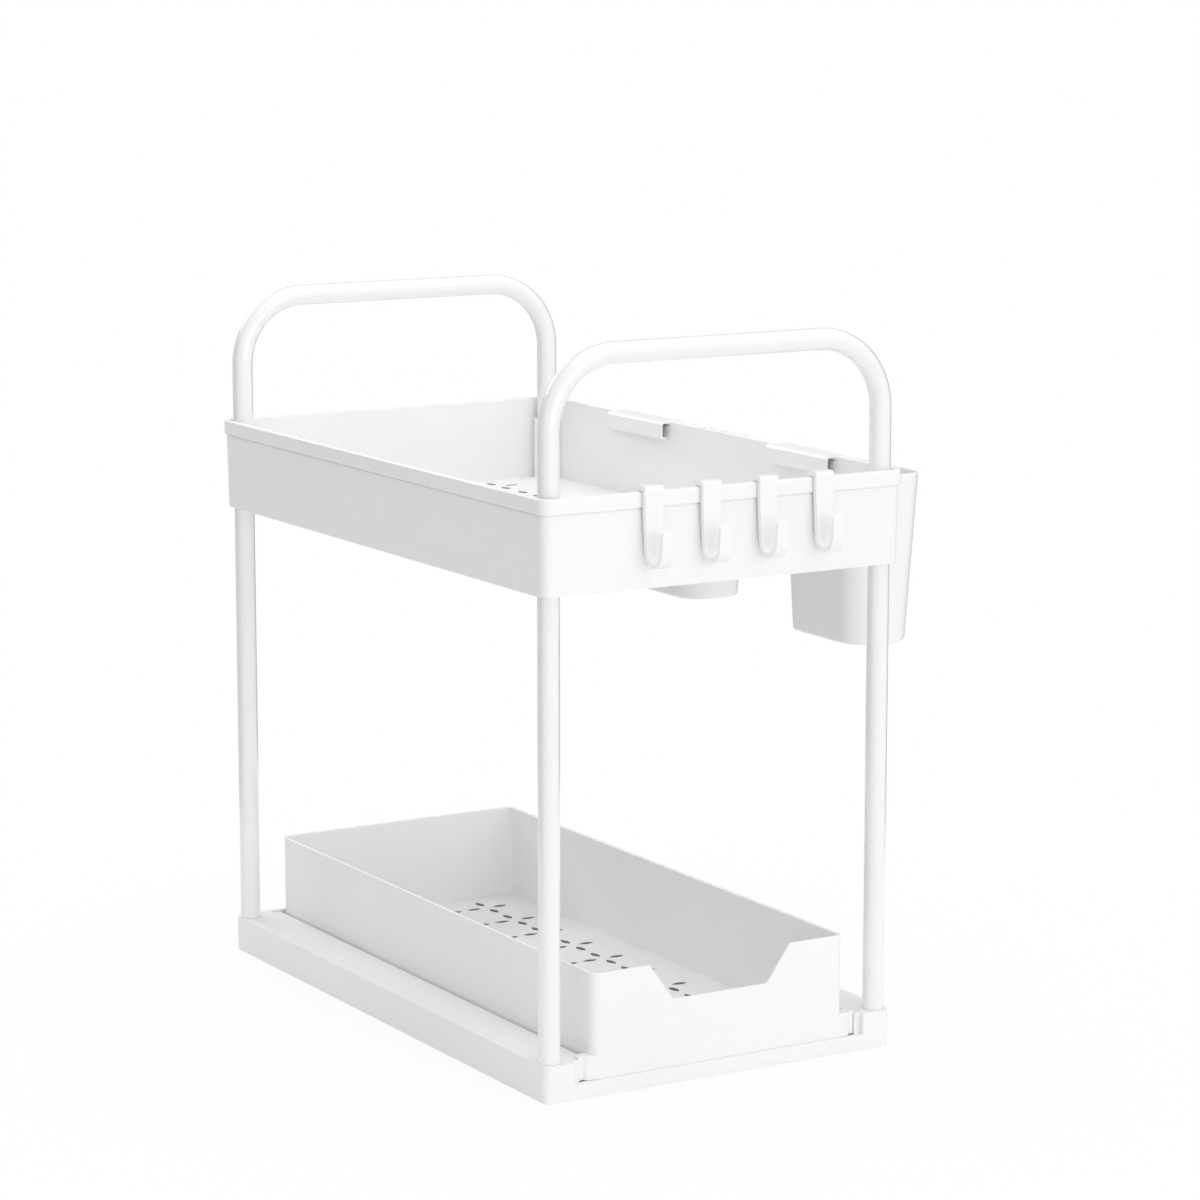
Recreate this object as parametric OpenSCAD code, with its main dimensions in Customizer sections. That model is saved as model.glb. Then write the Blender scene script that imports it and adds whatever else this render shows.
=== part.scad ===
// Two tier under sink organizer: a base with a sliding drawer, an open tray on four tube posts,
// two tube handles, four hooks on the front rim and two cups on the right rim.
// X is across, Y runs to the back, Z is up. The origin is under the middle of the base.

/* [Base] */
// Width of the base
base_w = 225; // [190:1:260]
// Depth of the base, front to back
base_d = 381; // [320:1:440]
// Height of the base from the surface to its deck
base_h = 21.2; // [18:0.2:28]
// Radius of the base's upright corners
base_corner_r = 5; // [3:0.5:8]
// Thickness of the skirt on the sides and the back
base_wall = 2.4; // [2:0.1:3]
// Thickness of the sill under the front opening
front_wall = 3; // [2:0.1:4]
// Thickness of the deck and of the channel floor
deck_t = 2.2; // [1.8:0.1:3]
// Height of the front sill that the drawer slides over
sill_h = 8.9; // [8:0.1:10]
// Height of the two bearers that the drawer slides on, above the channel floor
bearer_h = 2; // [1:0.1:2.5]
// Width of one bearer
bearer_w = 4; // [3:0.5:8]
// Height of the guide rails above the bearers
guide_h = 6; // [4:0.5:8]
// Thickness of a guide rail
guide_t = 2; // [1.6:0.1:3]
// Distance between the two bearers
bearer_pitch = 98; // [60:1:110]
// Width of the deck beside the drawer's channel
deck_side_w = 22.5; // [21:0.5:34]
// Thickness of the channel's sides
channel_wall = 2; // [1.6:0.1:2.6]
// How much wider than the channel the front opening is, on each side
opening_margin = 4; // [3:0.1:5]
// Thickness of the ribs under the channel's floor
under_rib_t = 1.6; // [1.2:0.1:2.4]
// Cross ribs under the channel's floor
under_ribs = 7; // [3:1:12]
// How far the ribs end above the skirt's lower edge
under_rib_lift = 1; // [0.5:0.1:2]

/* [Feet] */
// Diameter of one foot pad
pad_d = 11; // [8:0.5:12]
// Thickness of one foot pad
pad_t = 2; // [1.6:0.1:3]
// How far a pad stands below the skirt
pad_drop = 0.6; // [0.4:0.1:1.2]
// Wall of the boss round a pad
pad_boss_wall = 2; // [1.6:0.1:2.4]

/* [Drawer] */
// How far the drawer's front stands back from the base's front
drawer_inset = 2; // [0:0.1:4]
// Height of the drawer
drawer_h = 59; // [40:1:90]
// Thickness of the drawer's walls
drawer_wall = 2; // [1.6:0.1:3]
// Thickness of the drawer's floor
drawer_floor = 2.2; // [1.8:0.1:3]
// Radius of the drawer's upright corners
drawer_corner_r = 5.5; // [4:0.5:8]
// How far the front ears stand out beside the drawer
ear_out = 6.4; // [4:0.2:7]
// Height of the front ears
ear_h = 13.4; // [10:0.2:16]
// Depth of the front ears
ear_depth = 8; // [6:0.5:12]
// Width of the finger cut-out at its top
cutout_top_w = 91.4; // [70:0.2:110]
// Width of the finger cut-out at its bottom
cutout_bottom_w = 61; // [40:0.5:68]
// Depth of the finger cut-out
cutout_depth = 21; // [12:0.5:26]

/* [Upper tray] */
// How far the tray's rim stands out over the base at each side
tray_over_x = 3.1; // [1.5:0.1:5]
// How far the tray's rim stands out over the base at the front and the back
tray_over_y = 3.3; // [1.5:0.1:5]
// Height of the tray's underside above the base's deck
tier_gap = 255.4; // [180:0.2:320]
// Height of the tray
tray_h = 52.5; // [46:0.5:70]
// Thickness of the tray's walls
tray_wall = 2.2; // [1.8:0.1:3]
// Thickness of the tray's floor
tray_floor = 2.4; // [2:0.1:3]
// How far the rim band stands out from the wall
rim_out = 1.1; // [0.8:0.1:2]
// Height of the rim band
rim_h = 8.5; // [6:0.5:12]
// How much narrower each wall is at the bottom than under the rim
tray_draft = 0.8; // [0.4:0.1:1.2]
// Outside radius of the tray's upright corners
tray_corner_r = 7; // [5:0.5:8]
// Height of the corner sockets above the tray's underside
socket_h = 40; // [34:0.5:42]
// Wall of the corner sockets
socket_wall = 1.9; // [1.5:0.1:2.5]
// Thickness of the web between the post's bore and the handle's bore
socket_web = 2.5; // [2:0.1:4]

/* [Drain pattern] */
// Length of one leaf-shaped hole
leaf_l = 10.5; // [8:0.5:12]
// Width of one leaf-shaped hole
leaf_w = 4.4; // [3:0.2:5.2]
// Distance from a flower's centre to the middle of a leaf
leaf_ring_r = 9.3; // [8:0.1:10]
// Rows of flowers on the tray and in the drawer
flower_rows = 4; // [2:1:4]
// Least distance from a pattern to the wall
drain_margin = 2; // [1:0.5:6]
// Most flowers in one row on the tray
tray_flowers = 9; // [5:1:9]
// How far the tray's pattern lies behind the tray's middle
tray_flower_shift = 6.1; // [0:0.1:8]
// Distance between the flowers of a row on the tray
tray_flower_pitch = 39.4; // [30:0.2:40]
// Distance between the rows on the tray
tray_row_pitch = 40; // [32:1:44]
// Most flowers in one row in the drawer
drawer_flowers = 10; // [5:1:10]
// Distance between the flowers of a row in the drawer
drawer_flower_pitch = 35.6; // [30:0.2:36]
// Distance between the rows in the drawer
drawer_row_pitch = 32.3; // [30:0.1:34]

/* [Posts and handles] */
// Outside diameter of the tube
tube_d = 12; // [10:0.5:13]
// Wall of the tube
tube_wall = 1; // [0.8:0.1:1.4]
// Distance from the base's side to a post's centre
post_inset_x = 6.7; // [6.7:0.1:9]
// Distance from the base's front or back to a post's centre
post_inset_y = 7.8; // [7.4:0.1:10]
// Height of the spigots that hold the posts on the base
spigot_h = 14; // [8:0.5:20]
// Height of the taper at a spigot's tip
spigot_tip = 1.5; // [1:0.1:3]
// Height of a handle's top centre line above the tray's rim
handle_rise = 73.7; // [56:0.1:100]
// Radius of a handle's bends, to the centre line
handle_bend_r = 40; // [22:1:48]

/* [Hooks] */
// Distance between the hooks
hook_pitch = 36.3; // [24:0.1:40]
// Place of the middle of the row of hooks
hook_row_x = 5.2; // [-20:0.1:20]
// Width of a hook at its top
hook_w = 11.6; // [9:0.2:16]
// Width of a hook's strap at its bottom
hook_low_w = 8.4; // [7:0.2:8.8]
// Width of the upturned tip
hook_tip_w = 6.2; // [5:0.2:7]
// Thickness of a hook
hook_t = 3; // [2.4:0.1:3.6]
// Height of a hook
hook_h = 43.6; // [38:0.2:48]
// Inside radius of a hook's bend
hook_bend_r = 5.2; // [4:0.1:8]
// Height of the upturned tip
hook_tip_h = 21; // [16:0.5:24]
// Length of the leg inside the tray
hook_leg_h = 10; // [8:0.5:14]
// Thickness of the leg inside the tray
hook_leg_t = 2.2; // [1.8:0.1:3]

/* [Cups] */
// Width of a cup at its top, along the tray's side
cup_top_w = 81; // [70:1:90]
// Depth of a cup at its top, out from the tray
cup_top_d = 51; // [44:0.2:60]
// Width of a cup at its bottom
cup_bottom_w = 75.6; // [60:0.2:80]
// Depth of a cup at its bottom
cup_bottom_d = 42.2; // [36:0.2:46]
// Height of a cup
cup_h = 97.8; // [70:0.2:120]
// Radius of a cup's corners at its top
cup_top_r = 14.6; // [12:0.2:19]
// Radius of a cup's corners at its bottom
cup_bottom_r = 17; // [10:0.2:17.5]
// Size of the bevel round a cup's underside
cup_edge = 1.5; // [1:0.1:2.5]
// Thickness of a cup's walls
cup_wall = 1.8; // [1.4:0.1:2.4]
// Distance from the tray's rim out to a cup's back
cup_standoff = 4.4; // [4:0.2:8]
// Height of the tray's rim above a cup's top
cup_below_rim = 12.5; // [10:0.5:16]
// How much further in a cup's back is at its bottom
cup_back_lean = 3.6; // [2:0.1:5]
// Length of a hanger along the rim
hanger_w = 62.6; // [40:0.2:64]
// Thickness of a hanger
hanger_t = 2.4; // [2:0.1:2.6]
// Height of the curved flap inside the tray
flap_h = 11; // [9:0.5:14]
// How far the flap bows away from the wall
flap_bow = 5.4; // [3.4:0.1:6]
// Thickness of the flap
flap_t = 1.4; // [1.2:0.1:2]
// How much longer than a hanger its notch in the rim is, at each end
notch_gap = 0.9; // [0.4:0.1:2]
// Depth of a notch in the rim
notch_depth = 2.9; // [2.8:0.1:3.4]
// Middle of the rear cup along the tray
cup_rear_y = 79; // [60:0.1:110]
// Middle of the front cup along the tray
cup_front_y = -97.6; // [-110:0.1:-60]

/* [Clearances] */
// Gap between pieces that slide or lift
slide_gap = 0.3; // [0.2:0.05:0.4]
// Gap round a tube in its socket, and round a spigot in its tube
tube_gap = 0.15; // [0.1:0.05:0.2]
// Gap beside the drawer in its guide rails
guide_gap = 1.2; // [0.6:0.1:1.6]
// Gap between the drawer's back and the base's back wall
rear_gap = 1.1; // [0.8:0.1:3]
// Gap from the front ears to the channel's sides
ear_gap = 1.9; // [1:0.1:3.6]

/* [Hidden] */
$fn = 96;
plastic = "white";
powder_coat = "whitesmoke";
rubber = "gainsboro";
cut = 1;
small_fn = 32;

// Levels, from the surface up
skirt_z = pad_drop;
sill_z = sill_h;
drawer_z = sill_z + slide_gap;
channel_floor_z = sill_z - bearer_h;
tray_z = base_h + tier_gap;
rim_z = tray_z + tray_h;
post_top_z = tray_z + (socket_h - socket_web) / 2;
handle_foot_z = post_top_z + socket_web;
handle_top_z = rim_z + handle_rise;

// Places of the posts
post_x = base_w / 2 - post_inset_x;
post_y = base_d / 2 - post_inset_y;
boss_d = pad_d + 2 * pad_boss_wall;

// The channel that the drawer runs in, and the opening in the front wall
channel_half_w = base_w / 2 - deck_side_w;
opening_half_w = channel_half_w + opening_margin;
channel_front_y = -base_d / 2 + front_wall;
channel_rear_y = base_d / 2 - base_wall;
drawer_rear_y = channel_rear_y - rear_gap;
drawer_front_y = -base_d / 2 + drawer_inset;
drawer_d = drawer_rear_y - drawer_front_y;
drawer_w = 2 * (channel_half_w - ear_gap - ear_out);
guide_inner_x = drawer_w / 2 + guide_gap;

// The tray's outline over its rim, and its wall lines
tray_w = base_w + 2 * tray_over_x;
tray_d = base_d + 2 * tray_over_y;
tray_under_rim_w = tray_w - 2 * rim_out;
tray_under_rim_d = tray_d - 2 * rim_out;
tray_bottom_w = tray_under_rim_w - 2 * tray_draft;
tray_bottom_d = tray_under_rim_d - 2 * tray_draft;
wall_out_x = tray_under_rim_w / 2;
wall_in_x = wall_out_x - tray_wall;
wall_in_y = tray_under_rim_d / 2 - tray_wall;
socket_bore_r = tube_d / 2 + tube_gap;
socket_r = socket_bore_r + socket_wall;
tray_inner_r = max(tray_corner_r - rim_out - tray_wall, 0.5);

// A row of numbers, count long, pitch apart and centred on zero
function centred(count, pitch) = [for (i = [0 : count - 1]) (i - (count - 1) / 2) * pitch];

// As many flowers as were asked for, or as have room between two walls
function flowers_in(room, pitch, most) =
    min(most, 1 + floor((room - 2 * (leaf_ring_r + leaf_l / 2 + drain_margin)) / pitch));

module rounded_rect(w, d, r) {
    union() {
        square([w - 2 * r, d], center = true);
        square([w, d - 2 * r], center = true);
        for (x = [-1, 1], y = [-1, 1])
            translate([x * (w / 2 - r), y * (d / 2 - r)]) circle(r);
    }
}

// A slab with upright rounded corners
module slab(w, d, h, r) {
    linear_extrude(h) rounded_rect(w, d, r);
}

// A body whose rounded outline grows evenly from its bottom to its top
module drafted(w0, d0, r0, w1, d1, r1, h, skin = 0.01) {
    hull() {
        linear_extrude(skin) rounded_rect(w0, d0, r0, $fn = small_fn);
        translate([0, 0, h - skin]) linear_extrude(skin) rounded_rect(w1, d1, r1, $fn = small_fn);
    }
}

// A leaf outline, pointed at both ends, that lies along X
module leaf(l, w) {
    arc_r = (l * l + w * w) / (4 * w);
    intersection() {
        translate([0, arc_r - w / 2]) circle(arc_r);
        translate([0, w / 2 - arc_r]) circle(arc_r);
    }
}

// Four leaves round a centre
module flower() {
    for (a = [0 : 90 : 270])
        rotate(a) translate([leaf_ring_r, 0]) leaf(leaf_l, leaf_w);
}

module flower_field(rows, row_pitch, count, pitch) {
    for (x = centred(rows, row_pitch), y = centred(count, pitch))
        translate([x, y]) flower();
}

module at_posts() {
    for (x = [-1, 1], y = [-1, 1])
        translate([x * post_x, y * post_y, 0]) children();
}

// Base: a skirt, a deck each side of the drawer's channel, and four spigots for the posts
module base_shell() {
    difference() {
        translate([0, 0, skirt_z]) slab(base_w, base_d, base_h - skirt_z, base_corner_r);
        translate([0, 0, skirt_z - cut])
            slab(base_w - 2 * base_wall, base_d - 2 * base_wall, base_h - skirt_z - deck_t + cut,
                base_corner_r - base_wall / 2);
        translate([-channel_half_w, channel_front_y, channel_floor_z - deck_t])
            cube([2 * channel_half_w, channel_rear_y - channel_front_y, base_h]);
    }
}

module base_channel() {
    run = channel_rear_y - channel_front_y;
    floor_z = channel_floor_z - deck_t;
    translate([-channel_half_w - channel_wall, channel_front_y, floor_z])
        cube([2 * (channel_half_w + channel_wall), run, deck_t]);
    for (side = [-1, 1]) {
        translate([side * (channel_half_w + channel_wall / 2) - channel_wall / 2, channel_front_y, floor_z])
            cube([channel_wall, run, base_h - floor_z]);
        translate([side * bearer_pitch / 2 - bearer_w / 2, channel_front_y, channel_floor_z])
            cube([bearer_w, run, bearer_h]);
        translate([side * (guide_inner_x + guide_t / 2) - guide_t / 2,
                drawer_front_y + ear_depth + guide_gap, channel_floor_z])
            cube([guide_t, channel_rear_y - drawer_front_y - ear_depth - guide_gap, bearer_h + guide_h]);
    }
}

module base_underside() {
    rib_z = skirt_z + under_rib_lift;
    rib_top = channel_floor_z - deck_t / 2;
    inner_w = base_w - base_wall;
    // Cross ribs under the channel floor
    for (y = centred(under_ribs, base_d / (under_ribs + 1)))
        translate([-inner_w / 2, y - under_rib_t / 2, rib_z])
            cube([inner_w, under_rib_t, rib_top - rib_z]);
    // One long rib under each bearer
    for (side = [-1, 1])
        translate([side * bearer_pitch / 2 - under_rib_t / 2, -base_d / 2 + base_wall / 2, rib_z])
            cube([under_rib_t, base_d - base_wall, rib_top - rib_z]);
}

// The sill under the opening
module base_sill() {
    translate([-opening_half_w, -base_d / 2, skirt_z]) cube([2 * opening_half_w, front_wall, sill_z - skirt_z]);
}

// Bosses under the posts, which hold the pads
module base_bosses() {
    intersection() {
        at_posts() translate([0, 0, skirt_z]) cylinder(d = boss_d, h = base_h - skirt_z - deck_t / 2);
        translate([0, 0, skirt_z])
            slab(base_w - base_wall, base_d - base_wall, base_h, base_corner_r - base_wall / 2);
    }
}

module base_tray() {
    color(plastic) difference() {
        union() {
            base_shell();
            base_channel();
            base_underside();
            base_sill();
            base_bosses();
            at_posts() post_spigot();
        }
        // The opening in the front wall
        translate([-opening_half_w, -base_d / 2 - cut, sill_z])
            cube([2 * opening_half_w, front_wall + cut, base_h]);
        at_posts() translate([0, 0, skirt_z - cut]) cylinder(d = pad_d + 2 * tube_gap, h = pad_t - pad_drop + cut);
    }
}

module post_spigot() {
    spigot_r = tube_d / 2 - tube_wall - tube_gap;
    translate([0, 0, base_h - deck_t / 2]) cylinder(r = spigot_r, h = deck_t / 2 + spigot_h - spigot_tip);
    translate([0, 0, base_h + spigot_h - spigot_tip])
        cylinder(r1 = spigot_r, r2 = spigot_r - spigot_tip / 2, h = spigot_tip);
}

module foot_pad(x, y) {
    color(rubber) translate([x * post_x, y * post_y, 0]) cylinder(d = pad_d, h = pad_t);
}

// Drawer: a thin walled box with a finger cut-out, ears at its front and a drain pattern
module drawer_ear(side) {
    reach = ear_out + drawer_corner_r;
    ear_w = drawer_w + 2 * ear_out;
    intersection() {
        translate([0, ear_w / 2, 0]) slab(ear_w, ear_w, ear_h, drawer_corner_r);
        translate([side * (ear_w / 2 - reach / 2) - reach / 2, 0, 0]) cube([reach, ear_depth, ear_h]);
    }
}

module drawer() {
    mid_y = drawer_front_y + drawer_d / 2;
    inner_r = drawer_corner_r - drawer_wall;
    color(plastic) difference() {
        union() {
            translate([0, mid_y, drawer_z]) slab(drawer_w, drawer_d, drawer_h, drawer_corner_r);
            translate([0, drawer_front_y, drawer_z]) {
                drawer_ear(-1);
                drawer_ear(1);
            }
        }
        translate([0, mid_y, drawer_z + drawer_floor])
            slab(drawer_w - 2 * drawer_wall, drawer_d - 2 * drawer_wall, drawer_h, inner_r);
        translate([0, mid_y, drawer_z - cut]) linear_extrude(drawer_floor + 2 * cut)
            flower_field(flowers_in(drawer_w - 2 * drawer_wall, drawer_row_pitch, flower_rows), drawer_row_pitch,
                flowers_in(drawer_d - 2 * drawer_wall, drawer_flower_pitch, drawer_flowers), drawer_flower_pitch);
        finger_cutout();
    }
}

module finger_cutout() {
    half_top = cutout_top_w / 2;
    half_bottom = cutout_bottom_w / 2;
    slope = (half_top - half_bottom) / cutout_depth;
    translate([0, drawer_front_y + drawer_wall + cut, drawer_z + drawer_h]) rotate([90, 0, 0])
        linear_extrude(drawer_wall + 2 * cut)
            polygon([[-half_top - slope * cut, cut], [-half_bottom, -cutout_depth],
                [half_bottom, -cutout_depth], [half_top + slope * cut, cut]]);
}

// Upper tray: drafted walls, a rim band, corner sockets and two notches for the cups
module tray_outside() {
    translate([0, 0, tray_z])
        drafted(tray_bottom_w, tray_bottom_d, tray_corner_r - rim_out,
            tray_under_rim_w, tray_under_rim_d, tray_corner_r - rim_out, tray_h);
    translate([0, 0, rim_z - rim_h]) slab(tray_w, tray_d, rim_h, tray_corner_r);
}

module tray_hollow() {
    translate([0, 0, tray_z + tray_floor])
        drafted(tray_bottom_w - 2 * tray_wall, tray_bottom_d - 2 * tray_wall, tray_inner_r,
            tray_under_rim_w - 2 * tray_wall, tray_under_rim_d - 2 * tray_wall, tray_inner_r,
            tray_h - tray_floor + 0.02);
}

module socket_columns() {
    translate([0, 0, tray_z]) intersection() {
        at_posts() cylinder(r = socket_r, h = socket_h);
        slab(tray_bottom_w - tray_wall, tray_bottom_d - tray_wall, socket_h, tray_corner_r - rim_out);
    }
}

module upper_tray() {
    color(plastic) difference() {
        union() {
            difference() {
                tray_outside();
                tray_hollow();
            }
            socket_columns();
        }
        at_posts() translate([0, 0, tray_z - cut])
            cylinder(r = socket_bore_r, h = post_top_z - tray_z + cut);
        at_posts() translate([0, 0, handle_foot_z]) cylinder(r = socket_bore_r, h = rim_z - handle_foot_z + cut);
        translate([0, tray_flower_shift, tray_z - cut]) linear_extrude(tray_floor + 2 * cut)
            flower_field(flowers_in(tray_bottom_w - 2 * tray_wall, tray_row_pitch, flower_rows), tray_row_pitch,
                flowers_in(tray_bottom_d - 2 * tray_wall - 2 * tray_flower_shift, tray_flower_pitch,
                    tray_flowers), tray_flower_pitch);
        for (y = [cup_front_y, cup_rear_y])
            translate([wall_in_x - cut, y - hanger_w / 2 - notch_gap, rim_z - notch_depth])
                cube([tray_wall + rim_out + 2 * cut, hanger_w + 2 * notch_gap, notch_depth + cut]);
    }
}

// Posts and handles are bent from the same tube
module tube_section() {
    difference() {
        circle(d = tube_d);
        circle(d = tube_d - 2 * tube_wall);
    }
}

module post(x, y) {
    color(powder_coat) translate([x * post_x, y * post_y, base_h])
        linear_extrude(post_top_z - base_h) tube_section();
}

module handle(y) {
    leg = handle_top_z - handle_bend_r - handle_foot_z;
    flat = 2 * (post_x - handle_bend_r);
    color(powder_coat) translate([0, y * post_y, 0]) union() {
        for (side = [-1, 1])
            translate([side * post_x, 0, handle_foot_z]) linear_extrude(leg) tube_section();
        for (side = [0, 1]) mirror([side, 0, 0])
            translate([post_x - handle_bend_r, 0, handle_top_z - handle_bend_r]) rotate([90, 0, 0])
                rotate_extrude(angle = 90) translate([handle_bend_r, 0]) tube_section();
        translate([-flat / 2, 0, handle_top_z]) rotate([90, 0, 90]) linear_extrude(flat) tube_section();
    }
}

// Hook, drawn from the side: u is the distance out from the tray's middle, v is the height
hook_back_u = tray_d / 2 + 2 * slide_gap;
hook_front_u = hook_back_u + hook_t;
hook_top_v = rim_z + slide_gap + hook_t;
hook_bottom_v = hook_top_v - hook_h;
hook_leg_out_u = wall_in_y - slide_gap;
hook_leg_in_u = hook_leg_out_u - hook_leg_t;
hook_bend_u = hook_front_u + hook_bend_r;
hook_bend_v = hook_bottom_v + hook_t + hook_bend_r;
hook_tip_u = hook_bend_u + hook_bend_r;

// Two round corners over the rim join the leg and the strap
module hook_over_rim() {
    outer_r = hook_t;
    translate([hook_leg_in_u + outer_r, rim_z + slide_gap])
        square([hook_front_u - hook_leg_in_u - 2 * outer_r, hook_t]);
    for (u = [hook_leg_in_u + outer_r, hook_front_u - outer_r])
        translate([u, rim_z + slide_gap]) intersection() {
            circle(outer_r);
            translate([-outer_r, 0]) square([2 * outer_r, outer_r]);
        }
    translate([hook_leg_in_u, rim_z - hook_leg_h]) square([hook_leg_t, hook_leg_h + slide_gap]);
}

module hook_strap_side() {
    hook_over_rim();
    translate([hook_back_u, hook_bend_v]) square([hook_t, rim_z + slide_gap - hook_bend_v]);
    translate([hook_bend_u, hook_bend_v]) hook_bend_quarter(-1);
}

module hook_tip_side() {
    translate([hook_bend_u, hook_bend_v]) hook_bend_quarter(1);
    translate([hook_tip_u, hook_bend_v])
        square([hook_t, hook_bottom_v + hook_tip_h - hook_bend_v]);
}

module hook_bend_quarter(side) {
    outer_r = hook_bend_r + hook_t;
    intersection() {
        difference() {
            circle(outer_r);
            circle(hook_bend_r);
        }
        translate([side < 0 ? -outer_r : 0, -outer_r]) square([outer_r, outer_r]);
    }
}

// The side outline drawn across the hook's width
module across_hook(w) {
    translate([w / 2, 0, 0]) rotate([0, 0, 180]) rotate([90, 0, 90]) linear_extrude(w) children();
}

// The strap's outline from the front narrows towards the bend
module hook_strap_front() {
    shoulder_v = rim_z - rim_h;
    polygon([[-hook_low_w / 2, hook_bottom_v], [hook_low_w / 2, hook_bottom_v],
        [hook_w / 2, shoulder_v], [hook_w / 2, hook_top_v + cut],
        [-hook_w / 2, hook_top_v + cut], [-hook_w / 2, shoulder_v]]);
}

// The tip's outline from the front narrows upwards and ends round
module hook_tip_front() {
    tip_v = hook_bottom_v + hook_tip_h;
    round_r = hook_tip_w / 2;
    polygon([[-hook_low_w / 2, hook_bottom_v], [hook_low_w / 2, hook_bottom_v],
        [round_r, tip_v - round_r], [-round_r, tip_v - round_r]]);
    translate([0, tip_v - round_r]) circle(round_r);
}

// A front outline drawn through the whole reach of the hook
module through_hook() {
    reach = hook_tip_u + hook_t - hook_leg_in_u + 2 * cut;
    translate([0, -hook_leg_in_u + cut, 0]) rotate([90, 0, 0]) linear_extrude(reach) children();
}

module hook(x) {
    color(plastic) translate([x, 0, 0]) union() {
        intersection() {
            across_hook(hook_w) hook_strap_side();
            through_hook() hook_strap_front();
        }
        intersection() {
            across_hook(hook_w) hook_tip_side();
            through_hook() hook_tip_front();
        }
    }
}

// Cup: a tapered pot whose hanger sits in a notch of the rim
cup_back_x = tray_w / 2 + cup_standoff;
cup_top_z = rim_z - cup_below_rim;
cup_bottom_x = cup_back_x + cup_back_lean;
hanger_top_z = rim_z - notch_depth + slide_gap + hanger_t;

module cup_outline(back_x, w, d, r) {
    translate([back_x + d / 2, 0]) rounded_rect(d, w, r, $fn = small_fn);
}

module cup_outside(skin = 0.01) {
    hull() {
        translate([0, 0, cup_top_z - skin]) linear_extrude(skin)
            cup_outline(cup_back_x, cup_top_w, cup_top_d, cup_top_r);
        translate([0, 0, cup_top_z - cup_h + cup_edge]) linear_extrude(skin)
            cup_outline(cup_bottom_x, cup_bottom_w, cup_bottom_d, cup_bottom_r);
        translate([0, 0, cup_top_z - cup_h]) linear_extrude(skin)
            cup_outline(cup_bottom_x + cup_edge, cup_bottom_w - 2 * cup_edge, cup_bottom_d - 2 * cup_edge,
                cup_bottom_r - cup_edge);
    }
}

module cup_inside(skin = 0.01) {
    hull() {
        translate([0, 0, cup_top_z]) linear_extrude(skin)
            cup_outline(cup_back_x + cup_wall, cup_top_w - 2 * cup_wall, cup_top_d - 2 * cup_wall,
                cup_top_r - cup_wall);
        translate([0, 0, cup_top_z - cup_h + cup_wall]) linear_extrude(skin)
            cup_outline(cup_bottom_x + cup_wall, cup_bottom_w - 2 * cup_wall,
                cup_bottom_d - 2 * cup_wall, cup_bottom_r - cup_wall);
    }
}

// The hanger, drawn from its end: x out from the tray's middle, z up
module hanger_side() {
    in_x = wall_in_x - slide_gap;
    out_x = cup_back_x + hanger_t;
    leg_low_z = cup_top_z - 4 * hanger_t;
    plate_z = hanger_top_z - hanger_t;
    // The outer leg runs down on to the cup's back
    translate([cup_back_x, leg_low_z]) square([hanger_t, plate_z - leg_low_z]);
    // The plate lies in the notch
    translate([in_x - flap_t, plate_z]) square([out_x - hanger_t - in_x + flap_t, hanger_t]);
    translate([cup_back_x, plate_z]) intersection() {
        circle(hanger_t);
        square(hanger_t);
    }
    // The flap bows away from the wall and comes back to it
    bow_r = (flap_h * flap_h / 4 + flap_bow * flap_bow) / (2 * flap_bow);
    translate([in_x - flap_bow + bow_r, plate_z + hanger_t - flap_h / 2]) intersection() {
        difference() {
            circle(bow_r);
            circle(bow_r - flap_t);
        }
        translate([-bow_r, -flap_h / 2]) square([flap_bow, flap_h]);
    }
}

module cup(y) {
    color(plastic) translate([0, y, 0]) difference() {
        union() {
            cup_outside();
            translate([0, hanger_w / 2, 0]) rotate([90, 0, 0]) linear_extrude(hanger_w) hanger_side();
        }
        cup_inside();
    }
}

hook_x = [for (x = centred(4, hook_pitch)) hook_row_x + x];

base_tray();
drawer();
upper_tray();
post(-1, -1);  // post_front_left
post(1, -1);  // post_front_right
post(-1, 1);  // post_rear_left
post(1, 1);  // post_rear_right
handle(-1);  // handle_front
handle(1);  // handle_rear
hook(hook_x[0]);  // hook_1
hook(hook_x[1]);  // hook_2
hook(hook_x[2]);  // hook_3
hook(hook_x[3]);  // hook_4
cup(cup_front_y);  // cup_front
cup(cup_rear_y);  // cup_rear
foot_pad(-1, -1);  // foot_pad_front_left
foot_pad(1, -1);  // foot_pad_front_right
foot_pad(-1, 1);  // foot_pad_rear_left
foot_pad(1, 1);  // foot_pad_rear_right
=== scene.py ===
"""Two tier under sink organizer: moulded white plastic, white powder coated tube and a white studio.

Sizes are in millimetres while a piece is shaped; it is turned to metres when it is finished.
+X is to the right, +Y to the back and +Z up.
"""
import math

import bmesh
import bpy
from bmesh.types import BMEdge, BMFace, BMVert
from mathutils import Matrix, Vector


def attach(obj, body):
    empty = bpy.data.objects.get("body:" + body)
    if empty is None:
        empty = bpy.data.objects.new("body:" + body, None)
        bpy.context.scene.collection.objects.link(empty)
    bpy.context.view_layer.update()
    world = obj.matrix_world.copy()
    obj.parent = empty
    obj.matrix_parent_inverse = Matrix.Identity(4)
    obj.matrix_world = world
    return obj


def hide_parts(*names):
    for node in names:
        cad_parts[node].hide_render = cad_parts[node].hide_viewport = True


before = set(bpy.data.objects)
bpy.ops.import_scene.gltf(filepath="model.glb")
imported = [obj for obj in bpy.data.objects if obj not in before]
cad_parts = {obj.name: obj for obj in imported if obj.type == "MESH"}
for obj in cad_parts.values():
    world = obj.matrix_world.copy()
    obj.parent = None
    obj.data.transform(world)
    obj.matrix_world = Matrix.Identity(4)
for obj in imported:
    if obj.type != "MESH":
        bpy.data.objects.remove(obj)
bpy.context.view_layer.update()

MM = 0.001
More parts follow.
